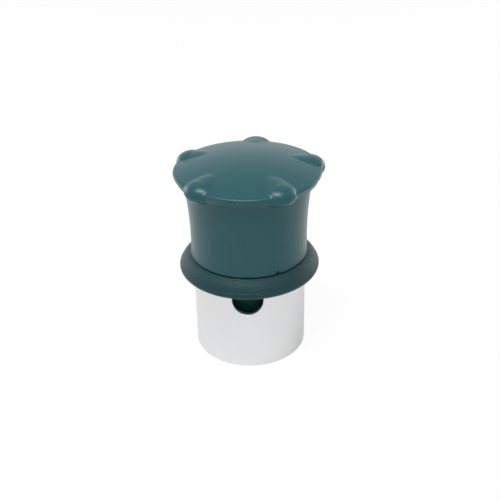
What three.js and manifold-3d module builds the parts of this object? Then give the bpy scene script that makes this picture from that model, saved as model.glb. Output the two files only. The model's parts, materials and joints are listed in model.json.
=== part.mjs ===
// Steam regulator valve for a pressure cooker: a heat-insulated, five-lobed knob on a metal skirt.
// Millimetres, +Z up. The origin is the centre of the skirt's bottom rim, on the valve's axis.
// The front of the valve, where one steam port shows, faces -Y.
import * as THREE from "three";
import { mergeVertices } from "three/addons/utils/BufferGeometryUtils.js";
import Module from "manifold-3d";

const wasm = await Module();
wasm.setup();

// ---------- Driving dimensions ----------

// Gaps between neighbours
const SLIP = 0.3; // radial gap of a piece that stands in another, or turns round it
const RUN = 0.3; // axial gap under a turning or sprung piece
const NEST = 0.1; // axial gap between stacked washers
const CHAMFER = 0.4; // small edge breaks
const PAST = 1; // how far a cutting tool runs past the wall it cuts

// Metal skirt with its steam ports
const SKIRT_RADIUS = 17.5;
const SKIRT_WALL = 1.2;
const SKIRT_SHOWING = 26.8; // height from the bottom rim to the collar
const PORT_RADIUS = 4.75;
const PORT_BELOW_COLLAR = 2.9; // the port's centre, below the collar's lower edge
const PORT_AZIMUTH = -2.6;
const PORT_COUNT = 2;

// Collar: a bead that runs round the skirt's top, with the turning joint on it
const COLLAR_HEIGHT = 5.55;
const COLLAR_FLARE = 4.3; // bead's widest radius, beyond the skirt
const COLLAR_NECK = 0.7; // radius at the seam, beyond the skirt
const COLLAR_EDGE = 1.45; // round of the bead's lower edge
const COLLAR_NOSE = 0.6; // round above the widest line, across
const COLLAR_NOSE_RISE = 0.9; // and upwards
const COLLAR_NOSE_DEGREES = 65;
const DECK = 1.8;
const GASKET = 0.6;
const LAND_HEIGHT = 3.0;
const HUB_HEIGHT = 5.8;
const HUB_WALL = 1.9;

// Barrel of the knob
const BARREL_HEIGHT = 24.45; // from the seam to the cap's lower edge
const BARREL_WAIST = 0.45; // waist radius, beyond the skirt
const BARREL_FLARE = 1.43; // how far the top is wider than the waist
const BARREL_FOOT = 0.2; // how far the foot flares out at the seam
const BARREL_FOOT_HEIGHT = 1.0;
const BARREL_WAIST_ABOVE_SEAM = 6.7;
const BARREL_WALL = 2.4;
const FLOOR = 2.2;
const INDEX_AZIMUTH = 27;
const INDEX_WIDTH = 1.3;
const INDEX_HEIGHT = 1.2;
const INDEX_DEPTH = 0.8;

// Cap with its finger lobes
const CAP_OVERHANG = 4.2; // rim radius, beyond the barrel's waist
const LIP_HEIGHT = 2.8;
const LIP_TAPER = 0.9;
const RIM_ROUND = 0.9;
const DOME_RISE = 4.15;
const CAP_WALL = 2.2;
const CAP_RECESS = 0.8; // how far the barrel's top stands up into the cap
const PLUG_DEPTH = 4.0;
const PLUG_WALL = 1.8;
const SNAP_BEAD = 0.45;
const LOBE_COUNT = 5;
const LOBE_FIRST_AZIMUTH = 27.5;
const LOBE_REACH = 1.48; // outermost point, beyond the rim
const LOBE_OUTER = 4.6; // from the lobe's crown out to its nose
const LOBE_INNER = 5.6; // from the crown in to its tail
const LOBE_HALF_WIDTH = 5.1;
const LOBE_HALF_HEIGHT = 3.25;
const LOBE_DROP = 1.0; // crown centre, below the rim

// Steam guide, which stands in the skirt and takes the lid's vent pipe
const SOCKET_RADIUS = 7.5;
const STEAM_CHANNEL = 5.3; // open width between the guide and the skirt
const GUIDE_RECESS = 6.0; // its lower end, above the skirt's rim
const GUIDE_FLANGE = 2.5;
const GUIDE_FLANGE_GAP = 0.7; // between its edge and the skirt
const GUIDE_MOUTH_CHAMFER = 0.6;
const CHAMBER_STEP = 1.2; // how much narrower the chamber is than the socket
const CHAMBER_HEIGHT = 5.5;
const CROSS_PORT_RADIUS = 2.2;
const CLIP_WIRE = 0.6;
const CLIP_ABOVE_MOUTH = 3.0;
const CLIP_GAP_DEGREES = 60;

// Seat bush, seal and needle
const BUSH_HEIGHT = 6.0;
const SEAT_BORE = 1.6;
const SEAT_CONE = 1.6; // height of the 45 degree seat
const SEAL_HEIGHT = 2.2;
const SEAL_WIDTH = 2.1;
const SEAL_NOSE = 0.6;
const SEAT_LAND = 0.4; // how far the face that meets the vent pipe stands below the seal's bed
const STEM_RADIUS = 2.0;
const ROD_RADIUS = 1.5;
const NOSE_RADIUS = 0.9;
const NOSE_LENGTH = 1.8;
const TIP_SHANK = 1.2;
const NEEDLE_FLANGE = 1.2;
const NEEDLE_FLANGE_GAP = 0.9; // steam passes round the flange
const NEEDLE_LIFT = 2.0;

// Spring, its housing and its adjuster
const SPRING_RADIUS = 4.0;
const SPRING_WIRE = 0.6;
const SPRING_TURNS = 7;
const SPRING_LENGTH = 15.6;
const SEAT_WASHER = 1.2;
const ADJUSTER_HEIGHT = 4.2;
const LOCK_RING_HEIGHT = 1.4;
const HOUSING_WALL = 1.3;
const HOUSING_BORE = 6.7;
const HOUSING_FLANGE = 3.0;
const SLOT_WIDTH = 1.6;
const SLOT_DEPTH = 1.2;

// Fasteners and the turning joint
const SCREW_COUNT = 4;
const SCREW_RADIUS = 1.25;
const SCREW_HEAD_RADIUS = 2.0;
const SCREW_HEAD_HEIGHT = 1.5;
const SCREW_BITE = 2.9; // length in the collar
const SCREW_HEX = 1.1;
const STOP_PIN_RADIUS = 1.2;
const STOP_PIN_BED = 2.6;
const TURN_RANGE = 90;
const WAVE_THICKNESS = 0.3;
const WAVE_HEIGHT = 0.2;
const WAVE_COUNT = 3;
const THRUST_WASHER = 0.6;
const CIRCLIP = 0.7;
const CIRCLIP_GROOVE = 0.6;
const CIRCLIP_WIDTH = 2.0;
const CIRCLIP_GAP_DEGREES = 50;

// Fineness of the round faces
const WIDE = 40;
const MEDIUM = 28;
const SMALL = 12;

// ---------- Places worked out from the sizes ----------

const skirtInner = SKIRT_RADIUS - SKIRT_WALL;
const collarBottom = SKIRT_SHOWING;
const seam = collarBottom + COLLAR_HEIGHT;
const deckBottom = seam - DECK;
const skirtTop = deckBottom - GASKET;
const clampLevel = skirtTop - SKIRT_WALL; // where the guide's flange meets the skirt's top plate
const portHeight = collarBottom - PORT_BELOW_COLLAR;
const screwTop = deckBottom + SCREW_BITE;

const guideOuter = skirtInner - STEAM_CHANNEL;
const guideFlangeRadius = skirtInner - GUIDE_FLANGE_GAP;
const chamberRadius = SOCKET_RADIUS - CHAMBER_STEP;
const screwCircle = guideOuter + SCREW_HEAD_RADIUS + CHAMFER;

const needleFlangeTop = clampLevel - NEEDLE_LIFT - RUN;
const needleFlangeBottom = needleFlangeTop - NEEDLE_FLANGE;
const seatTop = needleFlangeBottom - CHAMBER_HEIGHT;
const bushBottom = seatTop - BUSH_HEIGHT;
const bushRadius = SOCKET_RADIUS - NEST;
const sealBottom = bushBottom - SEAL_HEIGHT;
const clipHeight = GUIDE_RECESS + CLIP_ABOVE_MOUTH;

const springBottom = needleFlangeTop + NEST;
const springTop = springBottom + SPRING_LENGTH;
const seatWasherBottom = springTop + NEST;
const adjusterBottom = seatWasherBottom + SEAT_WASHER + NEST;
const lockRingBottom = adjusterBottom + ADJUSTER_HEIGHT + NEST;
const housingTop = lockRingBottom + LOCK_RING_HEIGHT + RUN;
const housingOuter = HOUSING_BORE + HOUSING_WALL;
const housingLip = SPRING_RADIUS + SPRING_WIRE + 2 * NEST;
const threadRadius = HOUSING_BORE - SLIP;
const rodBore = ROD_RADIUS + SLIP;
const rodTop = lockRingBottom - NEEDLE_LIFT;

const hubInner = housingOuter + SLIP;
const hubRadius = hubInner + HUB_WALL;
const landTop = seam + LAND_HEIGHT;
const hubTop = landTop + HUB_HEIGHT;
const waistRadius = SKIRT_RADIUS + BARREL_WAIST;
const landRadius = waistRadius - BARREL_WALL - SLIP;
const stopCircle = (hubRadius + landRadius) / 2 + CHAMFER;

const floorBottom = landTop + RUN;
const floorTop = floorBottom + FLOOR;
const waveBottom = floorTop + NEST;
const waveTop = waveBottom + WAVE_THICKNESS + 2 * WAVE_HEIGHT;
const thrustBottom = waveTop + NEST;
const circlipBottom = thrustBottom + THRUST_WASHER + NEST;

const barrelBottom = seam + RUN;
const capBottom = seam + BARREL_HEIGHT;
const barrelTop = capBottom + CAP_RECESS;
const capRadius = waistRadius + CAP_OVERHANG;
const rimHeight = capBottom + LIP_HEIGHT;
const plugBottom = barrelTop - PLUG_DEPTH;
const snapLevel = barrelTop - PLUG_DEPTH / 2;

// ---------- Shape helpers ----------

const radians = THREE.MathUtils.degToRad;

// A place on a circle round the axis: azimuth 0 is the front (-Y), and it grows towards +X.
function aroundAxis(radius, azimuth, z = 0) {
  const a = radians(azimuth);
  return new THREE.Vector3(radius * Math.sin(a), -radius * Math.cos(a), z);
}

// Points of an elliptical arc in the (radius, height) half-plane, angles in degrees.
function arc(centre, across, up, from, to, steps) {
  return Array.from({ length: steps + 1 }, (_, i) => {
    const a = radians(from + ((to - from) * i) / steps);
    return [centre[0] + across * Math.cos(a), centre[1] + up * Math.sin(a)];
  });
}

// A closed outline of (radius, height) points turned round the Z axis.
function turned(outline, segments) {
  const points = outline.map(([r, z]) => new THREE.Vector2(Math.max(r, 0), z));
  if (THREE.ShapeUtils.area(points) < 0) points.reverse();
  const last = points[points.length - 1];
  const onAxis = points[0].x === 0 && last.x === 0;
  if (!onAxis) points.push(points[0].clone());
  return new THREE.LatheGeometry(points, segments).rotateX(Math.PI / 2);
}

// A solid disc or rod on the axis.
function rod(radius, bottom, top, segments) {
  return turned([[0, bottom], [radius, bottom], [radius, top], [0, top]], segments);
}

// A flat ring or a plain tube.
function tube(inner, outer, bottom, top, segments) {
  return turned([[inner, bottom], [outer, bottom], [outer, top], [inner, top]], segments);
}

// A flat C-shaped ring, open round the given azimuth.
function openRing(inner, outer, bottom, thickness, gapDegrees, gapAzimuth) {
  const half = radians(gapDegrees / 2);
  const shape = new THREE.Shape();
  shape.absarc(0, 0, outer, half, 2 * Math.PI - half, false);
  shape.absarc(0, 0, inner, 2 * Math.PI - half, half, true);
  return new THREE.ExtrudeGeometry(shape, {
    depth: thickness,
    bevelEnabled: false,
    curveSegments: MEDIUM / 2,
  })
    .rotateZ(radians(gapAzimuth - 90))
    .translate(0, 0, bottom);
}

// A helix, or part of a ring when it doesn't climb.
class Coil extends THREE.Curve {
  constructor(radius, bottom, rise, startDegrees, sweepDegrees) {
    super();
    Object.assign(this, { radius, bottom, rise, startDegrees, sweepDegrees });
  }

  getPoint(t, target = new THREE.Vector3()) {
    const place = aroundAxis(
      this.radius,
      this.startDegrees + this.sweepDegrees * t,
      this.bottom + this.rise * t,
    );
    return target.copy(place);
  }
}

// Round wire bent along a curve.
function wire(curve, radius, steps, sides) {
  const section = new THREE.Shape(
    Array.from({ length: sides }, (_, i) => {
      const a = (2 * Math.PI * i) / sides;
      return new THREE.Vector2(radius * Math.cos(a), radius * Math.sin(a));
    }),
  );
  return new THREE.ExtrudeGeometry(section, { steps, bevelEnabled: false, extrudePath: curve });
}

// Solids for cutting and joining.
function solid(geometry) {
  const bare = geometry.clone();
  bare.deleteAttribute("normal");
  bare.deleteAttribute("uv");
  const merged = mergeVertices(bare, 1e-4);
  return new wasm.Manifold(
    new wasm.Mesh({
      numProp: 3,
      vertProperties: new Float32Array(merged.attributes.position.array),
      triVerts: new Uint32Array(merged.index.array),
    }),
  );
}

function geometryOf(manifold) {
  const made = manifold.getMesh();
  const geometry = new THREE.BufferGeometry();
  geometry.setAttribute("position", new THREE.BufferAttribute(made.vertProperties, 3));
  geometry.setIndex(new THREE.BufferAttribute(made.triVerts, 1));
  geometry.computeVertexNormals();
  return geometry;
}

function cutAway(geometry, tools) {
  const rest = tools.reduce((left, tool) => left.subtract(solid(tool)), solid(geometry));
  return geometryOf(rest);
}

function joined(geometry, others) {
  const whole = others.reduce((sum, other) => sum.add(solid(other)), solid(geometry));
  return geometryOf(whole);
}

// Where each screw stands, halfway between the ports.
function screwPlace(i) {
  return aroundAxis(screwCircle, 180 / SCREW_COUNT + (360 * i) / SCREW_COUNT);
}

// Level round holes that run outwards through a wall.
function sidePorts(count, firstAzimuth, radius, height, from, to) {
  return Array.from({ length: count }, (_, i) =>
    new THREE.CylinderGeometry(radius, radius, to - from + 2 * PAST, 2 * SMALL)
      .translate(0, (from + to) / 2, 0)
      .rotateZ(Math.PI + radians(firstAzimuth + (360 * i) / count))
      .translate(0, 0, height),
  );
}

// ---------- Metal skirt and collar ----------

function skirt() {
  const plateHole = housingOuter + HOUSING_FLANGE + SLIP;
  const cup = turned(
    [
      [skirtInner, 0],
      [SKIRT_RADIUS, 0],
      [SKIRT_RADIUS, skirtTop],
      [plateHole, skirtTop],
      [plateHole, clampLevel],
      [skirtInner, clampLevel],
    ],
    WIDE,
  );
  return cutAway(cup, [
    ...sidePorts(PORT_COUNT, PORT_AZIMUTH, PORT_RADIUS, portHeight, skirtInner, SKIRT_RADIUS),
    ...screwHoles(clampLevel, skirtTop),
  ]);
}

function screwHoles(bottom, top) {
  return Array.from({ length: SCREW_COUNT }, (_, i) => {
    const place = screwPlace(i);
    return rod(SCREW_RADIUS + SLIP, bottom - PAST, top + RUN, SMALL).translate(place.x, place.y, 0);
  });
}

function skirtGasket() {
  const ring = tube(hubInner, SKIRT_RADIUS, skirtTop, deckBottom, WIDE);
  return cutAway(ring, screwHoles(skirtTop, deckBottom));
}

function collar() {
  const widest = SKIRT_RADIUS + COLLAR_FLARE;
  const neck = SKIRT_RADIUS + COLLAR_NECK;
  const socket = SKIRT_RADIUS + SLIP;
  const beadLevel = collarBottom + COLLAR_EDGE;
  const groove = hubRadius - CIRCLIP_GROOVE;
  const noseCentre = [widest - COLLAR_NOSE, beadLevel];
  const nose = arc(noseCentre, COLLAR_NOSE, COLLAR_NOSE_RISE, 0, COLLAR_NOSE_DEGREES, 3);
  const body = turned(
    [
      [socket, collarBottom],
      ...arc([widest - COLLAR_EDGE, beadLevel], COLLAR_EDGE, COLLAR_EDGE, -90, 0, 4),
      ...nose.slice(1),
      [neck, seam],
      [landRadius, seam],
      [landRadius, landTop],
      [hubRadius, landTop],
      [hubRadius, circlipBottom - NEST],
      [groove, circlipBottom - NEST],
      [groove, circlipBottom + CIRCLIP + NEST],
      [hubRadius, circlipBottom + CIRCLIP + NEST],
      [hubRadius, hubTop],
      [hubInner, hubTop],
      [hubInner, deckBottom],
      [socket, deckBottom],
    ],
    WIDE,
  );
  const pinPlace = aroundAxis(stopCircle, 0);
  const pinHole = rod(STOP_PIN_RADIUS + NEST, landTop - STOP_PIN_BED - NEST, landTop + PAST, SMALL);
  return cutAway(body, [
    ...screwHoles(deckBottom, screwTop),
    pinHole.translate(pinPlace.x, pinPlace.y, 0),
  ]);
}

function stopPin() {
  const place = aroundAxis(stopCircle, 0);
  return rod(STOP_PIN_RADIUS, landTop - STOP_PIN_BED, floorTop - RUN, SMALL).translate(place.x, place.y, 0);
}

function baseScrew() {
  const headTop = clampLevel - GUIDE_FLANGE; // under the guide's flange
  const headBottom = headTop - SCREW_HEAD_HEIGHT;
  const body = turned(
    [
      [0, headBottom],
      [SCREW_HEAD_RADIUS, headBottom],
      [SCREW_HEAD_RADIUS, headTop],
      [SCREW_RADIUS, headTop],
      [SCREW_RADIUS, screwTop],
      [0, screwTop],
    ],
    SMALL,
  );
  const key = new THREE.CylinderGeometry(SCREW_HEX, SCREW_HEX, SCREW_HEAD_HEIGHT, 6)
    .rotateX(Math.PI / 2)
    .translate(0, 0, headBottom);
  return cutAway(body, [key]);
}

// ---------- Steam guide and the pieces in its socket ----------

function steamGuide() {
  const mouth = SOCKET_RADIUS;
  const clipGroove = mouth + CLIP_WIRE + NEST;
  const grooveHalf = CLIP_WIRE + NEST;
  const body = turned(
    [
      [mouth + GUIDE_MOUTH_CHAMFER, GUIDE_RECESS],
      [guideOuter, GUIDE_RECESS],
      [guideOuter, clampLevel - GUIDE_FLANGE],
      [guideFlangeRadius, clampLevel - GUIDE_FLANGE],
      [guideFlangeRadius, clampLevel],
      [chamberRadius, clampLevel],
      [chamberRadius, seatTop],
      [mouth, seatTop],
      [mouth, clipHeight + grooveHalf],
      [clipGroove, clipHeight + grooveHalf],
      [clipGroove, clipHeight - grooveHalf],
      [mouth, clipHeight - grooveHalf],
      [mouth, GUIDE_RECESS + GUIDE_MOUTH_CHAMFER],
    ],
    MEDIUM,
  );
  const crossHeight = (seatTop + needleFlangeBottom) / 2;
  return cutAway(body, [
    ...sidePorts(2, PORT_AZIMUTH + 90, CROSS_PORT_RADIUS, crossHeight, chamberRadius, guideOuter),
    ...screwHoles(clampLevel - GUIDE_FLANGE, clampLevel),
  ]);
}

function retainingClip() {
  const ring = new Coil(SOCKET_RADIUS - NEST, clipHeight, 0, CLIP_GAP_DEGREES / 2, 360 - CLIP_GAP_DEGREES);
  return wire(ring, CLIP_WIRE, 30, 8);
}

function pipeSeal() {
  const outer = bushRadius;
  const middle = (sealBottom + bushBottom) / 2;
  return turned(
    [
      [outer - SEAL_WIDTH, middle],
      [outer - SEAL_WIDTH + SEAL_NOSE, sealBottom],
      [outer, sealBottom],
      [outer, bushBottom],
      [outer - SEAL_WIDTH + SEAL_NOSE, bushBottom],
    ],
    MEDIUM,
  );
}

function seatBush() {
  const landOuter = bushRadius - SEAL_WIDTH - SLIP;
  return turned(
    [
      [SEAT_BORE, bushBottom - SEAT_LAND],
      [landOuter, bushBottom - SEAT_LAND],
      [landOuter, bushBottom],
      [bushRadius - CHAMFER, bushBottom],
      [bushRadius, bushBottom + CHAMFER],
      [bushRadius, seatTop],
      [SEAT_BORE + SEAT_CONE, seatTop],
      [SEAT_BORE, seatTop - SEAT_CONE],
    ],
    MEDIUM,
  );
}

// ---------- Needle ----------

function needleTip() {
  const clearance = SLIP * Math.SQRT2; // keeps the gap square to the 45 degree seat
  const widest = SEAT_BORE + SEAT_CONE - clearance;
  const blunt = widest / 4;
  const shankTop = seatTop + TIP_SHANK;
  return turned(
    [
      [0, seatTop - widest + blunt],
      [blunt, seatTop - widest + blunt],
      [widest, seatTop],
      [widest, shankTop],
      [NOSE_RADIUS + NEST, shankTop],
      [NOSE_RADIUS + NEST, shankTop - NOSE_LENGTH - NEST],
      [0, shankTop - NOSE_LENGTH - NEST],
    ],
    SMALL,
  );
}

function valveNeedle() {
  const shankTop = seatTop + TIP_SHANK;
  return turned(
    [
      [0, shankTop - NOSE_LENGTH],
      [NOSE_RADIUS, shankTop - NOSE_LENGTH],
      [NOSE_RADIUS, shankTop],
      [STEM_RADIUS, shankTop],
      [STEM_RADIUS, needleFlangeBottom],
      [chamberRadius - NEEDLE_FLANGE_GAP, needleFlangeBottom],
      [chamberRadius - NEEDLE_FLANGE_GAP, needleFlangeTop],
      [ROD_RADIUS, needleFlangeTop],
      [ROD_RADIUS, rodTop - CHAMFER],
      [ROD_RADIUS - CHAMFER, rodTop],
      [0, rodTop],
    ],
    SMALL,
  );
}

// ---------- Spring, housing and adjuster ----------

function pressureSpring() {
  const firstLoop = springBottom + SPRING_WIRE;
  const helix = new Coil(SPRING_RADIUS, firstLoop, SPRING_LENGTH - 2 * SPRING_WIRE, 0, 360 * SPRING_TURNS);
  return wire(helix, SPRING_WIRE, SPRING_TURNS * 10, 6);
}

function springHousing() {
  const flange = housingOuter + HOUSING_FLANGE;
  return turned(
    [
      [housingLip, clampLevel],
      [flange, clampLevel],
      [flange, skirtTop],
      [housingOuter, skirtTop],
      [housingOuter, housingTop],
      [HOUSING_BORE, housingTop],
      [HOUSING_BORE, skirtTop],
      [housingLip, skirtTop],
    ],
    MEDIUM,
  );
}

function springSeat() {
  const top = seatWasherBottom + SEAT_WASHER;
  const pilot = SPRING_RADIUS - SPRING_WIRE - SLIP;
  return turned(
    [
      [rodBore, seatWasherBottom - SPRING_WIRE],
      [pilot, seatWasherBottom - SPRING_WIRE],
      [pilot, seatWasherBottom],
      [threadRadius, seatWasherBottom],
      [threadRadius, top],
      [rodBore, top],
    ],
    MEDIUM,
  );
}

function threadedRing(bottom, height) {
  const body = tube(rodBore, threadRadius, bottom, bottom + height, MEDIUM);
  const slot = new THREE.BoxGeometry(3 * threadRadius, SLOT_WIDTH, 2 * SLOT_DEPTH);
  return { body, slot: slot.translate(0, 0, bottom + height) };
}

function adjustingScrew() {
  const { body, slot } = threadedRing(adjusterBottom, ADJUSTER_HEIGHT);
  return cutAway(body, [slot]);
}

function lockRing() {
  const { body } = threadedRing(lockRingBottom, LOCK_RING_HEIGHT);
  const notches = [0, 90].map((turn) =>
    new THREE.BoxGeometry(SLOT_WIDTH, 3 * threadRadius, SLOT_DEPTH)
      .rotateZ(radians(turn))
      .translate(0, 0, lockRingBottom + LOCK_RING_HEIGHT),
  );
  return cutAway(body, notches);
}

// ---------- Turning joint ----------

function waveWasher() {
  const outer = stopCircle + STOP_PIN_RADIUS;
  const ring = tube(hubRadius + SLIP, outer, waveBottom, waveBottom + WAVE_THICKNESS, WIDE);
  const place = ring.getAttribute("position");
  for (let i = 0; i < place.count; i += 1) {
    const angle = Math.atan2(place.getY(i), place.getX(i));
    place.setZ(i, place.getZ(i) + WAVE_HEIGHT * (1 + Math.sin(WAVE_COUNT * angle)));
  }
  return ring;
}

function thrustWasher() {
  return tube(hubRadius + SLIP, stopCircle, thrustBottom, thrustBottom + THRUST_WASHER, MEDIUM);
}

function circlip() {
  const inner = hubRadius - CIRCLIP_GROOVE + NEST;
  return openRing(inner, inner + CIRCLIP_WIDTH, circlipBottom, CIRCLIP, CIRCLIP_GAP_DEGREES, 180);
}

// ---------- Knob ----------

// Outer radius of the barrel: narrowest at the waist, wider towards the top as a parabola.
function barrelRadius(z) {
  const waistLevel = seam + BARREL_WAIST_ABOVE_SEAM;
  const rise = (z - waistLevel) / (capBottom - waistLevel);
  return waistRadius + BARREL_FLARE * Math.max(rise, 0) ** 2;
}

const plugBore = barrelRadius(capBottom) - BARREL_WALL;

// The snap ridge on the cap's plug, or the groove for it in the barrel, from the top down.
function snapRidge(radius) {
  return [
    [radius, snapLevel + SNAP_BEAD],
    [radius + SNAP_BEAD, snapLevel],
    [radius, snapLevel - SNAP_BEAD],
  ];
}

// Heights at equal steps from one level to another.
function levels(from, to, steps) {
  return Array.from({ length: steps + 1 }, (_, i) => from + ((to - from) * i) / steps);
}

// Curved slot in the barrel's floor that the stop pin runs in.
function stopSlot() {
  const half = STOP_PIN_RADIUS + SLIP;
  const inner = stopCircle - half;
  const outer = stopCircle + half;
  const start = radians(-90 - TURN_RANGE);
  const end = radians(-90);
  const farX = stopCircle * Math.cos(start);
  const farY = stopCircle * Math.sin(start);
  const shape = new THREE.Shape();
  shape.absarc(0, 0, outer, start, end, false);
  shape.absarc(0, -stopCircle, half, end, end + Math.PI, false);
  shape.absarc(0, 0, inner, end, start, true);
  shape.absarc(farX, farY, half, start + Math.PI, start + 2 * Math.PI, false);
  const cutter = new THREE.ExtrudeGeometry(shape, {
    depth: FLOOR + 2 * PAST,
    bevelEnabled: false,
    curveSegments: 8,
  });
  return cutter.translate(0, 0, floorBottom - PAST);
}

function barrel() {
  const footTop = barrelBottom + BARREL_FOOT_HEIGHT;
  const innerFoot = landRadius + SLIP;
  const body = turned(
    [
      [innerFoot, barrelBottom],
      ...arc([waistRadius + BARREL_FOOT, footTop], BARREL_FOOT, BARREL_FOOT_HEIGHT, -90, -180, 3),
      ...levels(seam + BARREL_WAIST_ABOVE_SEAM, barrelTop, 6).map((z) => [barrelRadius(z), z]),
      [plugBore, barrelTop],
      ...snapRidge(plugBore),
      [plugBore, plugBottom - FLOOR],
      [innerFoot, floorTop + FLOOR],
      [innerFoot, floorTop],
      [hubRadius + SLIP, floorTop],
      [hubRadius + SLIP, floorBottom],
      [innerFoot, floorBottom],
    ],
    WIDE,
  );
  const mark = aroundAxis(waistRadius, INDEX_AZIMUTH, barrelBottom);
  const indexNotch = new THREE.BoxGeometry(INDEX_WIDTH, 2 * INDEX_DEPTH, 2 * INDEX_HEIGHT)
    .rotateZ(radians(INDEX_AZIMUTH))
    .translate(mark.x, mark.y, mark.z);
  return cutAway(body, [stopSlot(), indexNotch]);
}

// One finger lobe: an egg that lies along a radius, with its blunt nose outwards.
function lobe(azimuth) {
  const crown = capRadius + LOBE_REACH - LOBE_OUTER;
  const egg = new THREE.SphereGeometry(1, 16, 10).rotateX(Math.PI / 2);
  const place = egg.getAttribute("position");
  for (let i = 0; i < place.count; i += 1) {
    const along = place.getX(i);
    place.setXYZ(
      i,
      crown + along * (along > 0 ? LOBE_OUTER : LOBE_INNER),
      place.getY(i) * LOBE_HALF_WIDTH,
      rimHeight - LOBE_DROP + place.getZ(i) * LOBE_HALF_HEIGHT,
    );
  }
  return egg.rotateZ(radians(azimuth - 90));
}

// Radius of the sphere whose cap has this rim radius and rise.
function sphereRadius(rim, rise) {
  return (rim * rim + rise * rise) / (2 * rise);
}

// Points down a dome from its apex to its rim.
function dome(rim, apex, rise, steps) {
  const ball = sphereRadius(rim, rise);
  const reach = THREE.MathUtils.radToDeg(Math.asin(rim / ball));
  return arc([0, apex - ball], ball, ball, 90, 90 - reach, steps);
}

function knobCap() {
  const edge = capRadius - RIM_ROUND / 2;
  const foot = capRadius - LIP_TAPER;
  const apex = rimHeight + DOME_RISE;
  const crust = turned(
    [
      ...dome(edge, apex, DOME_RISE - RIM_ROUND / 3, 7),
      [capRadius, rimHeight],
      [foot, capBottom + CHAMFER],
      [foot - CHAMFER, capBottom],
      [0, capBottom],
    ],
    WIDE,
  );
  const lobes = Array.from({ length: LOBE_COUNT }, (_, i) =>
    lobe(LOBE_FIRST_AZIMUTH + (360 * i) / LOBE_COUNT),
  );
  const plug = plugBore - SLIP;
  const plugInner = plug - PLUG_WALL;
  const underLobes = capBottom - 2 * LOBE_HALF_HEIGHT;
  const barrelSeat = rod(barrelRadius(barrelTop) + SLIP, underLobes, barrelTop, WIDE);
  const ceiling = dome(plugInner, apex - CAP_WALL, DOME_RISE / 2, 3).reverse();
  const hollow = turned([[0, plugBottom], [plugInner, plugBottom], ...ceiling], WIDE);
  const plugRoot = barrelTop + CAP_WALL / 4; // inside the cap's wall, so that the two join
  const plugRing = turned(
    [
      [plug, plugRoot],
      ...snapRidge(plug),
      [plug, plugBottom],
      [plugInner, plugBottom],
      [plugInner, plugRoot],
    ],
    WIDE,
  );
  const shell = cutAway(joined(crust, lobes), [barrelSeat, hollow]);
  return joined(shell, [plugRing]);
}

// ---------- Assembly ----------

const finishes = {
  smoothPlastic: { color: 0x2f5055, roughness: 0.35, metalness: 0 },
  grainedPlastic: { color: 0x2c4d52, roughness: 0.6, metalness: 0 },
  darkPlastic: { color: 0x17342f, roughness: 0.5, metalness: 0 },
  satinSteel: { color: 0xdddddf, roughness: 0.35, metalness: 0.9 },
  springSteel: { color: 0xa9abad, roughness: 0.3, metalness: 1 },
  brass: { color: 0xb89a55, roughness: 0.35, metalness: 1 },
  silicone: { color: 0x8d3a2c, roughness: 0.8, metalness: 0 },
};

const valve = new THREE.Group();
const base = new THREE.Group();
const knob = new THREE.Group();
const needle = new THREE.Group();
valve.add(base, knob, needle);

function place(group, name, geometry, finish) {
  const mesh = new THREE.Mesh(geometry, new THREE.MeshStandardMaterial(finishes[finish]));
  mesh.name = name;
  group.add(mesh);
  return mesh;
}

place(base, "skirt", skirt(), "satinSteel");
place(base, "skirt_gasket", skirtGasket(), "silicone");
place(base, "collar", collar(), "grainedPlastic");
place(base, "steam_guide", steamGuide(), "darkPlastic");
place(base, "retaining_clip", retainingClip(), "springSteel");
place(base, "pipe_seal", pipeSeal(), "silicone");
place(base, "seat_bush", seatBush(), "brass");
place(base, "spring_housing", springHousing(), "brass");
place(base, "spring_seat", springSeat(), "brass");
place(base, "adjusting_screw", adjustingScrew(), "brass");
place(base, "lock_ring", lockRing(), "brass");
place(base, "pressure_spring", pressureSpring(), "springSteel");
place(base, "stop_pin", stopPin(), "springSteel");
place(base, "thrust_washer", thrustWasher(), "springSteel");
place(base, "circlip", circlip(), "springSteel");
for (let i = 0; i < SCREW_COUNT; i += 1) {
  const screw = place(base, `base_screw_${i + 1}`, baseScrew(), "springSteel");
  screw.position.copy(screwPlace(i));
}

place(needle, "valve_needle", valveNeedle(), "springSteel");
place(needle, "needle_tip", needleTip(), "silicone");

place(knob, "barrel", barrel(), "smoothPlastic");
place(knob, "wave_washer", waveWasher(), "springSteel");
place(knob, "knob_cap", knobCap(), "smoothPlastic");

export default valve;
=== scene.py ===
"""Builds the looks of a pressure cooker's steam regulator valve round its CAD frame, and a studio."""

import json
import math

import bmesh
import bpy
import numpy as np
from mathutils import Matrix, Vector


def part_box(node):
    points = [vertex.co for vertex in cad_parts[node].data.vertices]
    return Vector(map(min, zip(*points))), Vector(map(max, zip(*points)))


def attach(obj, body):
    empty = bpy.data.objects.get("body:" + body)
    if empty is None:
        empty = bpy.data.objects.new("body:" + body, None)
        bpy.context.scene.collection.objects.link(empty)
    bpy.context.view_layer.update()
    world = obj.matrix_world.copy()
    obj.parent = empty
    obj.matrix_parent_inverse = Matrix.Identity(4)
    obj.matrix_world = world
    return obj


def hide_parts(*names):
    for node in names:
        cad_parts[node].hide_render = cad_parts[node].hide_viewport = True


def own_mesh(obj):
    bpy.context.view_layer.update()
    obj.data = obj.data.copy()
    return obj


bl_info = {
    "name": "Steam regulator valve",
    "version": (1, 0, 0),
    "blender": (4, 5, 0),
    "location": "3D View > Sidebar > Valve",
    "description": "Detailed pieces and finishes for a pressure cooker's steam regulator valve",
    "category": "Object",
}

MM = 0.001
FINISH_PREFIX = "fine_"  # keeps these materials apart from the frame's own

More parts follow.
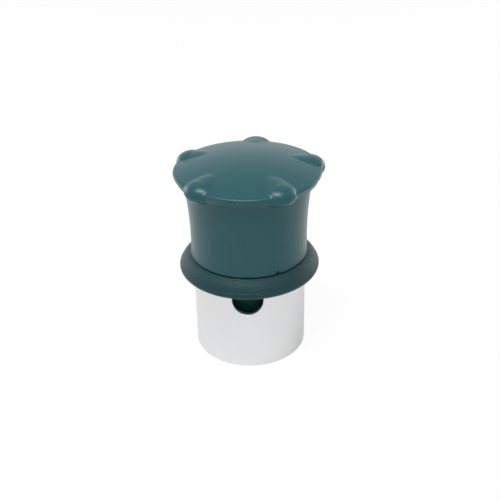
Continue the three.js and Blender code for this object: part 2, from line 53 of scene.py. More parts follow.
GAP = 0.3 * MM  # clearance between pieces that fit in each other
CAP_SEAT_GAP = 0.25 * MM
HUB_RADIUS = 10.2 * MM  # the collar's hub, which the knob turns on
HUB_BORE = 8.3 * MM
HUB_HOLE = 10.5 * MM  # hole for the hub in the barrel's floor
PLATE_HOLE = 11.3 * MM  # hole in the skirt's top plate
SKIRT_ROUND = 0.3 * MM  # round of the skirt's edges
PORT_MARGIN = 0.55 * MM  # room round a port for the quads that lead into it
SCREW_SHANK = 1.25 * MM
SCREW_HOLE = 1.55 * MM
HEX_RADIUS = 1.1 * MM
HEX_DEPTH = 0.8 * MM
CLIP_GROOVE = 0.7 * MM  # depth of the clip's groove, and half its height
SEAL_DEPTH = 2.1 * MM  # from the pipe seal's outside in to its nose
NEEDLE_FLANGE_RISE = 6.1 * MM  # from the needle's foot up to its flange

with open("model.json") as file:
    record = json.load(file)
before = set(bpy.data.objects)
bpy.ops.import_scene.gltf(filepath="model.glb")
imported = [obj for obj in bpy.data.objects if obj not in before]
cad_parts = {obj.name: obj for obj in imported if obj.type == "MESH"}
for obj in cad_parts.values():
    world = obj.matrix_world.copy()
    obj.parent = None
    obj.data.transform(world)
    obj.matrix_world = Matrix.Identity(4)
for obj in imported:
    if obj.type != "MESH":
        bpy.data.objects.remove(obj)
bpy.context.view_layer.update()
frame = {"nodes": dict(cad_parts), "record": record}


def top_of(node):
    """Highest level of a CAD node."""
    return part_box(node)[1][2]


def bottom_of(node):
    """Lowest level of a CAD node."""
    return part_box(node)[0][2]


def radius_of(node):
    """Radius of a round CAD node."""
    low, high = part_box(node)
    return (high[0] - low[0]) / 2


def srgb(red, green, blue):
    """A colour on the 0 to 255 scale as Blender's linear values."""

    def linear(value):
        share = value / 255
        return share / 12.92 if share <= 0.04045 else ((share + 0.055) / 1.055) ** 2.4

    return (linear(red), linear(green), linear(blue))


# ---------- Settings in the sidebar ----------


def length(name, description, default):
    """A length setting in metres."""
    return bpy.props.FloatProperty(
        name=name,
        description=description,
        default=default,
        min=0,
        precision=5,
        unit="LENGTH",
        subtype="DISTANCE",
    )


def turn(name, description, default):
    """An angle setting, its default in degrees."""
    return bpy.props.FloatProperty(
        name=name, description=description, default=math.radians(default), unit="ROTATION", subtype="ANGLE"
    )


def colour(name, description, default):
    """A colour setting."""
    return bpy.props.FloatVectorProperty(
        name=name, description=description, default=default, size=3, min=0, max=1, subtype="COLOR"
    )


class ValveCapSizes(bpy.types.PropertyGroup):
    rim_radius: length("Rim radius", "Radius of the dome's rim", -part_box("knob_cap")[0][0])
    apex: length("Apex", "Height of the dome's highest point", top_of("knob_cap"))
    foot: length("Lip foot", "Height of the lip's lower edge", top_of("barrel") - 0.8 * MM)
    lip_height: length("Lip height", "From the lip's foot up to the rim", 2.8 * MM)
    lip_taper: length("Lip taper", "How much narrower the lip is at its foot", 0.9 * MM)
    rim_round: length("Rim round", "Radius of the rim's bead", 0.62 * MM)
    lobe_reach: length("Lobe reach", "How far a lobe's nose stands out past the rim", 1.4 * MM)
    lobe_nose: length("Lobe nose", "From a lobe's crown out to its nose", 4.6 * MM)
    lobe_tail: length("Lobe tail", "From a lobe's crown in to its tail", 8.2 * MM)
    lobe_width: length("Lobe half width", "Half the width of a lobe", 5.1 * MM)
    lobe_height: length("Lobe half height", "Half the height of a lobe", 3.25 * MM)
    lobe_drop: length("Lobe drop", "How far a lobe's middle lies below the rim", 1.0 * MM)
    lobe_blend: length("Lobe blend", "Width of the fillet round a lobe", 0.28 * MM)
    lobe_rise: bpy.props.FloatProperty(
        name="Lobe rise", description="Slope at which a lobe's tail climbs the dome", default=0.25, min=0
    )
    lobe_count: bpy.props.IntProperty(name="Lobes", description="Number of finger lobes", default=5, min=0)
    first_lobe: turn("First lobe", "Azimuth of the first lobe from the front", 27.5)
    wall: length("Wall", "Wall of the cap", 2.2 * MM)
    plug_wall: length("Plug wall", "Wall of the ring that plugs into the barrel", 1.8 * MM)


class ValveBarrelSizes(bpy.types.PropertyGroup):
    waist: length("Waist radius", "Narrowest radius of the barrel", 17.95 * MM)
    waist_rise: length("Waist height", "Height of the waist above the barrel's lower edge", 6.4 * MM)
    foot_flare: length("Foot flare", "How far the foot stands out at the seam", 0.2 * MM)
    wall: length("Wall", "Wall of the barrel", 2.4 * MM)
    floor: length("Floor", "Thickness of the floor that turns on the collar", 2.2 * MM)
    mark_azimuth: turn("Mark", "Azimuth of the position mark", 27)
    mark_width: length("Mark width", "Width of the position mark", 1.0 * MM)
    mark_height: length("Mark height", "Height of the position mark", 0.75 * MM)
    mark_depth: length("Mark depth", "Depth of the position mark", 0.55 * MM)


class ValveBaseSizes(bpy.types.PropertyGroup):
    seam: length("Seam", "Height of the joint between collar and knob", bottom_of("barrel") - 0.3 * MM)
    neck: length("Neck radius", "Radius of the collar at the seam", 18.2 * MM)
    collar_edge: length("Collar edge", "Round of the collar's lower edge", 1.45 * MM)
    collar_bulge: length("Collar bulge", "How far the collar's slope swells between edge and neck", 0.45 * MM)
    skirt_wall: length("Skirt wall", "Wall of the metal skirt", 1.2 * MM)
    port_radius: length("Port radius", "Radius of a steam port", 4.75 * MM)
    port_height: length("Port height", "Height of the steam ports", 23.9 * MM)
    port_azimuth: turn("Port azimuth", "Azimuth of the front steam port", -2.6)
    port_break: length("Port edge", "Chamfer round a steam port", 0.15 * MM)
    socket: length("Socket radius", "Radius of the steam guide's socket", 7.5 * MM)
    chamber: length("Chamber radius", "Radius of the chamber above the seat", 6.3 * MM)
    guide_flange: length("Guide flange", "Thickness of the steam guide's flange", 2.5 * MM)
    guide_radius: length("Guide radius", "Outer radius of the steam guide", 11.0 * MM)
    cross_port: length("Cross port", "Radius of the steam guide's cross ports", 2.2 * MM)
    seat_bore: length("Seat bore", "Radius of the hole through the seat bush", 1.6 * MM)
    spring_wire: length("Spring wire", "Radius of the pressure spring's wire", 0.6 * MM)
    spring_turns: bpy.props.IntProperty(
        name="Spring turns", description="Turns of the spring", default=7, min=1
    )
    seat_land: length("Seat land", "Height of the face that meets the vent pipe", 0.4 * MM)


class ValveColours(bpy.types.PropertyGroup):
    smooth: colour("Smooth plastic", "Cap and barrel", srgb(8, 73, 79))
    grained: colour("Grained plastic", "Collar", srgb(5, 50, 54))
    # The steam guide's colour is much lighter than its real dark plastic: painted light that stands in for
    # the light that barely reaches it inside the ports
    dark: colour("Dark plastic", "Steam guide", srgb(54, 126, 110))
    steel: colour("Satin steel", "Skirt", srgb(213, 213, 214))
    bright: colour("Bright steel", "Clip, screws, spring and washers", srgb(190, 192, 195))
    brass: colour("Brass", "Seat bush, housing and adjuster", srgb(205, 172, 104))
    silicone: colour("Silicone", "Seals and gasket", srgb(150, 62, 48))


# ---------- Outlines and meshes ----------


def arc(centre, radius, start, end, steps):
    """Points of a circular arc in the (radius, height) half-plane, angles in degrees."""
    angles = np.radians(np.linspace(start, end, steps + 1))
    return [(centre[0] + radius * math.cos(a), centre[1] + radius * math.sin(a)) for a in angles]


def softened(corners, steps=5):
    """A closed outline of (radius, height, round) corners with each corner rounded by its own radius."""
    points = []
    for i, (x, z, size) in enumerate(corners):
        here = Vector((x, z))
        before = Vector(corners[i - 1][:2]) - here
        after = Vector(corners[(i + 1) % len(corners)][:2]) - here
        if size <= 0:
            points.append((x, z))
            continue
        half = before.angle(after) / 2
        reach = min(size / math.tan(half), 0.45 * before.length, 0.45 * after.length)
        centre = here + (before.normalized() + after.normalized()).normalized() * reach / math.cos(half)
        size = reach * math.tan(half)
        first = here + before.normalized() * reach - centre
        last = here + after.normalized() * reach - centre
        swing = first.angle_signed(last)
        for k in range(steps + 1):
            arm = first.normalized() * size
            arm.rotate(Matrix.Rotation(-swing * k / steps, 2))
            points.append((centre.x + arm.x, centre.y + arm.y))
    return points


def around(radius, azimuth, height=0.0):
    """A place round the axis: azimuth 0 is the front, towards -Y, and it grows towards +X."""
    return Vector((radius * math.sin(azimuth), -radius * math.cos(azimuth), height))


def linked(name, data):
    """A new object in the scene's collection."""
    made = bpy.data.objects.new(name, data)
    bpy.context.scene.collection.objects.link(made)
    return made


def new_piece(name, vertices, faces, sharp=35):
    """A smooth-shaded mesh object, with edges sharper than the given degrees left crisp."""
    mesh = bpy.data.meshes.new(name)
    mesh.from_pydata([tuple(v) for v in vertices], [], faces)
    mesh.validate()
    mesh.update()
    mesh.shade_smooth()
    mesh.set_sharp_from_angle(angle=math.radians(sharp))
    return linked(name, mesh)


def grid_faces(rows, columns, wrap_rows, wrap_columns, flip=False):
    """Quads over a grid of rows by columns, closed round where asked."""
    faces = []
    for r in range(rows if wrap_rows else rows - 1):
        for c in range(columns if wrap_columns else columns - 1):
            right = (c + 1) % columns
            below = (r + 1) % rows
            quad = (r * columns + c, r * columns + right, below * columns + right, below * columns + c)
            faces.append(tuple(reversed(quad)) if flip else quad)
    return faces


def signed_area(outline):
    """Twice the area inside an outline, positive if it runs anticlockwise."""
    ring = zip(outline, outline[1:] + outline[:1])
    return sum(a[0] * b[1] - b[0] * a[1] for a, b in ring)


def turned(name, outline, azimuths=192, shift=None, sharp=35):
    """A closed outline turned round the axis. shift(points, azimuth) may move a ring of points."""
    if signed_area(outline) > 0:
        outline = outline[::-1]
    if isinstance(azimuths, int):
        azimuths = np.linspace(0, 2 * math.pi, azimuths, endpoint=False)
    vertices = []
    for r, z in outline:
        for azimuth in azimuths:
            radius = shift(r, z, azimuth) if shift else r
            vertices.append(around(max(radius, 0.0), azimuth, z))
    faces = grid_faces(len(outline), len(azimuths), True, True)
    return cleaned(new_piece(name, vertices, faces, sharp), sharp)


def cleaned(piece, sharp=35):
    """Welds points that coincide, such as those on the axis, and drops the faces that vanish."""
    work = bmesh.new()
    work.from_mesh(piece.data)
    bmesh.ops.remove_doubles(work, verts=work.verts, dist=1e-7)
    bmesh.ops.dissolve_degenerate(work, edges=work.edges, dist=1e-8)
    bmesh.ops.recalc_face_normals(work, faces=work.faces)
    work.to_mesh(piece.data)
    work.free()
    piece.data.shade_smooth()
    piece.data.set_sharp_from_angle(angle=math.radians(sharp))
    return piece


def swept(name, path, radius, sides=16):
    """Round wire along a path of points, with rounded ends."""
    path = [Vector(p) for p in path]
    vertices = []
    rings = len(path)
    normal = Vector((0, 0, 1))
    for i, here in enumerate(path):
        ahead = (path[min(i + 1, rings - 1)] - path[max(i - 1, 0)]).normalized()
        side = ahead.cross(normal).normalized()
        up = side.cross(ahead).normalized()
        for k in range(sides):
            a = 2 * math.pi * k / sides
            vertices.append(here + side * radius * math.cos(a) + up * radius * math.sin(a))
    faces = grid_faces(rings, sides, False, True)
    for ring, step in ((0, -1), (rings - 1, 1)):
        tip = path[ring] + (path[ring] - path[ring - step]).normalized() * radius * 0.6
        vertices.append(tip)
        first = ring * sides
        for k in range(sides):
            faces.append((first + k, first + (k + 1) % sides, len(vertices) - 1))
    return cleaned(new_piece(name, vertices, faces))


def drill(centre, way, radius, reach, sides=40):
    """A round or many-sided cutter on a line through a centre."""
    mesh = bpy.data.meshes.new("drill")
    work = bmesh.new()
    bmesh.ops.create_cone(
        work, cap_ends=True, segments=sides, radius1=radius, radius2=radius, depth=2 * reach
    )
    work.to_mesh(mesh)
    work.free()
    mesh.transform(Matrix.Translation(centre) @ Vector(way).to_track_quat("Z", "Y").to_matrix().to_4x4())
    return linked("drill", mesh)


def curved_slot(circle, half, start, end, bottom, top):
    """A cutter for a slot that follows a circle round the axis from one azimuth to another."""
    middle = [around(circle, a) for a in np.linspace(start, end, 25)]
    outer = [p * (circle + half) / circle for p in middle]
    inner = [p * (circle - half) / circle for p in reversed(middle)]
    outline = outer + inner
    count = len(outline)
    vertices = [p + Vector((0, 0, z)) for z in (bottom, top) for p in outline]
    faces = [(k, (k + 1) % count, count + (k + 1) % count, count + k) for k in range(count)]
    faces += [tuple(range(count))[::-1], tuple(range(count, 2 * count))]
    return cleaned(new_piece("slot_cutter", vertices, faces))


def cut_by(piece, cutters, sharp=35):
    """Takes the cutters out of a piece and throws them away."""
    for cutter in cutters:
        cut = piece.modifiers.new("cut", "BOOLEAN")
        cut.object = cutter
        cut.solver = "EXACT"
    graph = bpy.context.evaluated_depsgraph_get()
    mesh = bpy.data.meshes.new_from_object(piece.evaluated_get(graph))
    piece.modifiers.clear()
    piece.data = mesh
    for cutter in cutters:
        bpy.data.objects.remove(cutter)
    mesh.shade_smooth()
    mesh.set_sharp_from_angle(angle=math.radians(sharp))
    return piece


def screw_centres():
    """Where the base screws stand, from their CAD nodes."""
    places = {}
    for name in sorted(frame["nodes"]):
        if name.startswith("base_screw"):
            low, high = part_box(name)
            places[name] = Vector(((low[0] + high[0]) / 2, (low[1] + high[1]) / 2, 0))
    return places


def screw_drills(bottom, top):
    """Cutters for the screws' clearance holes between two levels."""
    middle = Vector((0, 0, (bottom + top) / 2))
    reach = (top - bottom) / 2 + MM
    return [drill(place + middle, (0, 0, 1), SCREW_HOLE, reach, 24) for place in screw_centres().values()]


def finished(piece, node, body, slot):
    """Gives a piece its slot's finish, hides the CAD node that it stands for and puts it under its body."""
    piece.data.materials.clear()
    piece.data.materials.append(finish_of(slot))
    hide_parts(node)
    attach(piece, body)
    return piece


# ---------- Shader expressions ----------


class Wire:
    """A value in a shader tree. Maths on wires adds Math nodes."""

    def __init__(self, tree, socket):
        self.tree = tree
        self.socket = socket

    def maths(self, operation, *values):
        """The result of one Math node on these values."""
        made = self.tree.nodes.new("ShaderNodeMath")
        made.operation = operation
        for socket, value in zip(made.inputs, values):
            feed(self.tree, socket, value)
        return Wire(self.tree, made.outputs[0])

    def __add__(self, other):
        return self.maths("ADD", self, other)

    def __sub__(self, other):
        return self.maths("SUBTRACT", self, other)

    def __rsub__(self, other):
        return self.maths("SUBTRACT", other, self)

    def __mul__(self, other):
        return self.maths("MULTIPLY", self, other)

    __radd__ = __add__
    __rmul__ = __mul__


def feed(tree, socket, value):
    """Links a wire to a socket, or sets the socket's own value."""
    if isinstance(value, Wire):
        tree.links.new(value.socket, socket)
    elif isinstance(value, (tuple, list)) and socket.type == "RGBA":
        socket.default_value = (*value[:3], 1)
    else:
        socket.default_value = value


class Shader:
    """A node tree that is filled one node at a time."""

    def __init__(self, tree):
        self.tree = tree
        tree.nodes.clear()

    def node(self, kind, settings=None, inputs=None, output=0):
        """Adds a node: its settings first, then the values or wires of its sockets."""
        made = self.tree.nodes.new("ShaderNode" + kind)
        for key, value in (settings or {}).items():
            if key == "stops":
                set_stops(made.color_ramp, value)
            else:
                setattr(made, key, value)
        for key, value in (inputs or {}).items():
            feed(self.tree, made.inputs[key], value)
        return Wire(self.tree, made.outputs[output]) if made.outputs else None

    def millimetres(self, stretch=(1, 1, 1)):
        """The place on the object in millimetres, stretched along each axis."""
        place = self.node("TexCoord", output="Object")
        scale = tuple(s / MM for s in stretch)
        return self.node("VectorMath", {"operation": "MULTIPLY"}, {0: place, 1: scale})

    def noise(self, per_mm, detail=2.0, stretch=(1, 1, 1), roughness=0.5):
        """Noise from 0 to 1 with that many cells to a millimetre."""
        inputs = {
            "Vector": self.millimetres(stretch),
            "Scale": per_mm,
            "Detail": detail,
            "Roughness": roughness,
        }
        return self.node("TexNoise", inputs=inputs, output="Fac")

    def tone(self, share, dark, light):
        """A colour between two, by a share from 0 to 1."""
        return self.node("Mix", {"data_type": "RGBA"}, {"Factor": share, 6: dark, 7: light}, output=2)

    def ramp(self, share, stops):
        """A share reshaped by the stops of a ramp."""
        return self.node("ValToRGB", {"stops": stops}, {"Fac": share})


def set_stops(ramp, stops):
    """Sets a ramp's stops from (position, grey) pairs."""
    while len(ramp.elements) > 1:
        ramp.elements.remove(ramp.elements[-1])
    for i, (position, grey) in enumerate(stops):
        element = ramp.elements[0] if i == 0 else ramp.elements.new(position)
        element.position = position
        element.color = (grey, grey, grey, 1)


def shade(base, factor):
    """A colour made lighter or darker."""
    return tuple(min(1.0, c * factor) for c in base)


def new_material(name):
    """An empty material and the shader that fills it."""
    material = bpy.data.materials.new(FINISH_PREFIX + name)
    material.use_nodes = True
    return material, Shader(material.node_tree)


def surface(shader, colour_wire, roughness, bump, strength, distance, **uniform):
    """The Principled shader with its varying inputs, and uniform values on its own sockets."""
    normal = shader.node("Bump", inputs={"Height": bump, "Strength": strength, "Distance": distance})
    inputs = {"Base Color": colour_wire, "Roughness": roughness, "Normal": normal}
    inputs.update({key.replace("_", " "): value for key, value in uniform.items()})
    principled = shader.node("BsdfPrincipled", inputs=inputs)
    shader.node("OutputMaterial", inputs={"Surface": principled})


def smooth_plastic(base):
    """Satin moulding: faint flow in the colour, a soft orange peel and fine handling scratches."""
    material, shader = new_material("smooth_plastic")
    flow = shader.noise(0.09, detail=3)
    speck = shader.noise(3.2, detail=2)
    peel = shader.noise(1.1, detail=2)
    scuffs = shader.ramp(shader.noise(0.9, detail=6, stretch=(1, 1, 6)), [(0.6, 0), (0.74, 1)])
    tint = shader.tone(flow * 0.7 + speck * 0.3, shade(base, 0.9), shade(base, 1.12))
    roughness = 0.26 + 0.06 * flow + 0.04 * speck + 0.06 * scuffs
    surface(shader, tint, roughness, peel * 0.7 + speck * 0.3, 0.08, 0.05 * MM, Specular_IOR_Level=0.36)
    return material


def grained_plastic(base):
    """Spark-textured moulding: a close grain of small rounded pits and peaks."""
    material, shader = new_material("grained_plastic")
    grain = shader.noise(2.6, detail=3, roughness=0.6)
    pits = shader.node("TexVoronoi", inputs={"Vector": shader.millimetres(), "Scale": 2.2}, output="Distance")
    relief = grain * 0.6 + pits * 0.5
    tint = shader.tone(relief, shade(base, 0.75), shade(base, 1.3))
    roughness = 0.34 + 0.16 * grain
    surface(shader, tint, roughness, relief, 0.9, 0.22 * MM, Specular_IOR_Level=0.24)
    return material


def dark_plastic(base):
    """Plain moulding that steam has dulled in patches."""
    material, shader = new_material("dark_plastic")
    patches = shader.noise(0.25, detail=4)
    fine = shader.noise(2.5, detail=2)
    tint = shader.tone(patches, shade(base, 0.75), shade(base, 1.3))
    roughness = 0.34 + 0.22 * patches
    surface(shader, tint, roughness, fine, 0.15, 0.05 * MM, Specular_IOR_Level=0.5)
    return material


def turned_metal(base, name, rough, line_strength):
    """Metal with fine tool lines that run round the axis, and faint smudges."""
    material, shader = new_material(name)
    lines = shader.noise(1.0, detail=4, stretch=(0.05, 0.05, 9), roughness=0.7)
    smudges = shader.noise(0.12, detail=3)
    tint = shader.tone(0.5 * lines + 0.5 * smudges, shade(base, 0.93), shade(base, 1.04))
    roughness = rough + 0.1 * lines + 0.07 * smudges
    surface(shader, tint, roughness, lines, line_strength, 0.02 * MM, Metallic=1.0)
    return material


def soft_rubber(base):
    """Matte silicone with a powdery bloom."""
    material, shader = new_material("silicone")
    bloom = shader.noise(0.8, detail=5)
    fine = shader.noise(4.0, detail=2)
    tint = shader.tone(bloom, shade(base, 0.85), shade(base, 1.2))
    surface(shader, tint, 0.6 + 0.2 * bloom, fine, 0.2, 0.04 * MM, Specular_IOR_Level=0.4)
    return material


def finish_of(kind):
    """The material of that kind, made once from the sidebar's colours."""
    made = bpy.data.materials.get(FINISH_PREFIX + kind)
    if made:
        return made
    colours = bpy.context.scene.valve_colours
    makers = {
        "smooth_plastic": (smooth_plastic, colours.smooth),
        "grained_plastic": (grained_plastic, colours.grained),
        "dark_plastic": (dark_plastic, colours.dark),
        "satin_steel": (turned_metal, colours.steel, kind, 0.34, 0.25),
        "spring_steel": (turned_metal, colours.bright, kind, 0.2, 0.15),
        "brass": (turned_metal, colours.brass, kind, 0.24, 0.3),
        "silicone": (soft_rubber, colours.silicone),
    }
    make, base, *settings = makers[kind]
    return make(tuple(base), *settings)


# ---------- Knob ----------


def cap_outline(sizes, seat_radius, seat_top, plug_radius, plug_foot):
    """The cap's section as rows of (radius, height, direction out of the surface, share of a lobe there)."""
    rim = sizes.foot + sizes.lip_height
    edge = sizes.rim_round
    rise = sizes.apex - rim
    ball = (sizes.rim_radius**2 + rise**2) / (2 * rise)
    centre = sizes.apex - ball
    lip_angle = math.atan2(sizes.lip_taper, sizes.lip_height)
    reach = math.asin((sizes.rim_radius - edge) / (ball - edge))
    rows = []
    for angle in np.linspace(0, reach, 56):
        out = (math.sin(angle), math.cos(angle))
        rows.append((ball * out[0], centre + ball * out[1], out, 1.0))
    turn_centre = ((ball - edge) * math.sin(reach), centre + (ball - edge) * math.cos(reach))
    side = (math.cos(lip_angle), -math.sin(lip_angle))
    for angle in np.linspace(math.pi / 2 - reach, math.radians(-75), 16)[1:]:
        out = (math.cos(angle), math.sin(angle))
        way = out if angle > -lip_angle else side
        rows.append((turn_centre[0] + edge * out[0], turn_centre[1] + edge * out[1], way, 1.0))
    lip_top = rows[-1][:2]
    foot_round = 0.35 * MM
    lip_foot = (sizes.rim_radius - sizes.lip_taper, sizes.foot + foot_round * (1 - side[1]))
    for share in np.linspace(0, 1, 9)[1:]:
        radius = lip_top[0] + (lip_foot[0] - lip_top[0]) * share
        height = lip_top[1] + (lip_foot[1] - lip_top[1]) * share
        rows.append((radius, height, side, 1.0))
    foot_centre = (lip_foot[0] - foot_round * side[0], lip_foot[1] - foot_round * side[1])
    for angle in np.linspace(-lip_angle, -math.pi / 2, 6)[1:]:
        out = (math.cos(angle), math.sin(angle))
        rows.append((foot_centre[0] + foot_round * out[0], foot_centre[1] + foot_round * out[1], out, 1.0))
    down = (0.0, -1.0)
    foot_steps = 6
    for _ in range(foot_steps):
        rows.append((rows[-1][0] + (seat_radius - foot_centre[0]) / foot_steps, sizes.foot, down, 1.0))
    for share in np.linspace(1, 0, 6)[1:]:
        rows.append((seat_radius, sizes.foot, down, share))
    ceiling = sizes.apex - sizes.wall
    plug_inner = plug_radius - sizes.plug_wall
    inside = [
        (seat_radius, seat_top),
        (plug_radius, seat_top),
        (plug_radius, plug_foot),
        (plug_inner, plug_foot),
        (plug_inner, ceiling - rise / 2),
    ]
    rows += [(*place, down, 0.0) for place in inside]
    rows += [(plug_inner * s, ceiling - rise / 2 * s * s, down, 0.0) for s in np.linspace(1, 0, 9)[1:]]
    return rows


def lobe_height(points, ways, sizes, azimuths):
    """How far each surface point moves out along its way to lie on the nearest lobe, with a soft blend."""
    pitch = 2 * math.pi / sizes.lobe_count
    off = (azimuths - sizes.first_lobe + pitch / 2) % pitch - pitch / 2
    crown = sizes.rim_radius + sizes.lobe_reach - sizes.lobe_nose
    middle = sizes.foot + sizes.lip_height - sizes.lobe_drop

    def depth(place):
        """1 on the lobe's surface, less inside it."""
        along = place[..., 0] * np.cos(off) - crown
        across = place[..., 0] * np.sin(off)
        inward = np.maximum(-along, 0)
        climb = sizes.lobe_rise * (np.sqrt(inward**2 + MM**2) - MM)
        up = place[..., 1] - middle - climb
        spread = np.where(along > 0, sizes.lobe_nose, sizes.lobe_tail)
        half_width = sizes.lobe_width * (1 - 0.35 * np.clip(inward / sizes.lobe_tail, 0, 1) ** 1.5)
        return np.sqrt((along / spread) ** 2 + (across / half_width) ** 2 + (up / sizes.lobe_height) ** 2)

    start = depth(points)
    near = np.zeros_like(start)
    far = np.full_like(start, 8 * MM)
    for _ in range(30):
        half = (near + far) / 2
        inside = depth(points + ways * half[..., None]) < 1
        near = np.where(inside, half, near)
        far = np.where(inside, far, half)
    height = np.where(start < 1, near, (1 - start) * sizes.lobe_height)
    blend = sizes.lobe_blend
    return np.where(np.abs(height) < blend, (height + blend) ** 2 / (4 * blend), np.maximum(height, 0))


class VALVE_OT_cap(bpy.types.Operator):
    """Makes the domed cap with its finger lobes"""

    bl_idname = "valve.cap"
    bl_label = "Cap"

    def execute(self, context):
        sizes = context.scene.valve_cap
        barrel = context.scene.valve_barrel
        seat_top = top_of("barrel")
        seat_radius = radius_of("barrel") + CAP_SEAT_GAP
        plug_radius = barrel_radius(barrel, sizes.foot) - barrel.wall - GAP
        rows = cap_outline(sizes, seat_radius, seat_top, plug_radius, bottom_of("knob_cap"))
        azimuths = np.linspace(0, 2 * math.pi, 480, endpoint=False)
        section = np.array([[row[0], row[1]] for row in rows])
        ways = np.array([row[2] for row in rows])
        share = np.array([row[3] for row in rows])
        points = np.repeat(section[:, None, :], len(azimuths), axis=1)
        directions = np.repeat(ways[:, None, :], len(azimuths), axis=1)
        lift = lobe_height(points, directions, sizes, np.broadcast_to(azimuths, points.shape[:2]))
        moved = points + directions * (lift * share[:, None])[..., None]
        vertices = [around(r, a, z) for ring in moved for (r, z), a in zip(ring, azimuths)]
        faces = grid_faces(len(rows), len(azimuths), False, True, flip=True)
        piece = cleaned(new_piece("cap_with_lobes", vertices, faces), 50)
        finished(piece, "knob_cap", "knob", "smooth_plastic")
        return {"FINISHED"}


def barrel_radius(sizes, height):
    """The barrel's outer radius: narrowest at the waist, wider towards the top as a parabola."""
    foot = bottom_of("barrel")
    waist = foot + sizes.waist_rise
    top = top_of("barrel")
    climb = max(height - waist, 0) / (top - waist)
    return sizes.waist + (radius_of("barrel") - sizes.waist) * climb**2


class VALVE_OT_barrel(bpy.types.Operator):
    """Makes the waisted barrel with its position mark"""

    bl_idname = "valve.barrel"
    bl_label = "Barrel"

    def execute(self, context):
        sizes = context.scene.valve_barrel
        foot = bottom_of("barrel")
        top = top_of("barrel")
        floor_top = bottom_of("wave_washer") - 0.1 * MM
        floor_bottom = floor_top - sizes.floor
        inner_foot = sizes.waist - sizes.wall
        levels = np.linspace(foot + sizes.waist_rise, top - 0.4 * MM, 30)
        outside = [
            (sizes.waist + sizes.foot_flare * (1 - t) ** 2, foot + (0.25 + t) * MM)
            for t in np.linspace(0, 1, 6)
        ]
        outside += [(barrel_radius(sizes, z), z) for z in levels]
        bore = barrel_radius(sizes, top) - sizes.wall
        inner_wall = (
            (bore, top),
            (bore, top - 5 * MM),
            (inner_foot, floor_top + 2 * MM),
            (inner_foot, floor_top),
            (HUB_HOLE, floor_top),
            (HUB_HOLE, floor_bottom),
            (inner_foot, floor_bottom),
            (inner_foot, foot),
        )
        inside = [(r, z, 0.2 * MM) for r, z in inner_wall]
        corners = [(r, z, 0) for r, z in outside] + [(barrel_radius(sizes, top), top, 0.3 * MM)] + inside
        corners.append((sizes.waist + sizes.foot_flare, foot, 0.2 * MM))
        half = sizes.mark_width / 2 / sizes.waist
        soft = half * 0.25
        middle = sizes.mark_azimuth
        azimuths = sorted(
            [a for a in np.linspace(0, 2 * math.pi, 288, endpoint=False) if abs(a - middle) > half + 2 * soft]
            + [middle + k for k in (-half - soft, -half, -half + soft, 0, half - soft, half, half + soft)]
        )

        def dented(r, z, azimuth):
            deep = z < foot + sizes.mark_height and r > sizes.waist - 0.1 * MM
            return r - sizes.mark_depth if deep and abs(azimuth - middle) < half - soft / 2 else r

        piece = turned("barrel_shell", softened(corners), azimuths, dented)
        low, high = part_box("stop_pin")
        slot_half = (high[0] - low[0]) / 2 + GAP
        circle = -(low[1] + high[1]) / 2
        spare = slot_half / circle
        start = -math.pi / 2 - spare
        slot = curved_slot(circle, slot_half, start, spare, floor_bottom - MM, floor_top + MM)
        cut_by(piece, [slot])
        finished(piece, "barrel", "knob", "smooth_plastic")
        return {"FINISHED"}


# ---------- Base ----------


class VALVE_OT_collar(bpy.types.Operator):
    """Makes the flared, grained collar with the hub that the knob turns on"""

    bl_idname = "valve.collar"
    bl_label = "Collar"

    def execute(self, context):
        sizes = context.scene.valve_base
        foot = bottom_of("collar")
        widest = radius_of("collar")
        edge = sizes.collar_edge
        inner = radius_of("skirt") + GAP
        deck = top_of("skirt_gasket")
        barrel = context.scene.valve_barrel
        land = sizes.seam + 3.0 * MM
        land_radius = barrel.waist - barrel.wall - GAP
        shoulder = (sizes.neck + 0.1 * MM, sizes.seam - 0.05 * MM)
        nose_across = 0.6 * MM
        nose_up = 0.9 * MM
        bead = [(r, z, 0) for r, z in arc((widest - edge, foot + edge), edge, -90, 0, 10)]
        nose = [
            (widest - nose_across * (1 - math.cos(a)), foot + edge + nose_up * math.sin(a), 0)
            for a in np.radians(np.linspace(8, 62, 7))
        ]
        start = Vector(nose[-1][:2])
        along = Vector(shoulder) - start
        outward = Vector((along.y, -along.x)).normalized()
        slope = []
        for t in np.linspace(0, 1, 12)[1:-1]:
            point = start + along * t + outward * sizes.collar_bulge * 4 * t * (1 - t)
            slope.append((point.x, point.y, 0))
        rest = slope + [
            (*shoulder, 0.15 * MM),
            (sizes.neck - 0.4 * MM, sizes.seam, 0.1 * MM),
            (land_radius, sizes.seam, 0.1 * MM),
            (land_radius, land, 0.3 * MM),
            (HUB_RADIUS, land, 0.2 * MM),
            (HUB_RADIUS, top_of("collar"), 0.4 * MM),
            (HUB_BORE, top_of("collar"), 0.3 * MM),
            (HUB_BORE, deck, 0.2 * MM),
            (inner, deck, 0.2 * MM),
            (inner, foot, 0.3 * MM),
        ]
        piece = turned("grained_collar", softened(bead + nose + rest), 288)
        finished(piece, "collar", "base", "grained_plastic")
        return {"FINISHED"}


def ring_faces(first, second):
    """Quads between two closed rings of vertices."""
    size = len(first)
    return [(first[k], first[(k + 1) % size], second[(k + 1) % size], second[k]) for k in range(size)]


def edge_round(radius, level, across, up, angles):
    """Points of the round from the skirt's wall into its edge. Across and up are 1 or -1."""
    return [
        (radius + across * SKIRT_ROUND * (1 - math.cos(a)), level + up * SKIRT_ROUND * math.sin(a))
        for a in np.radians(angles)
    ]


def wall_azimuths(centres, span, columns, side):
    """Azimuths round a wall: even steps over the square round each hole, and between the squares."""
    azimuths = []
    for centre in centres:
        azimuths += list(np.linspace(centre - span, centre + span, side + 1))
        between = np.linspace(centre + span, centre + math.pi - span, columns)
        azimuths += list(between[1:-1])
    return azimuths


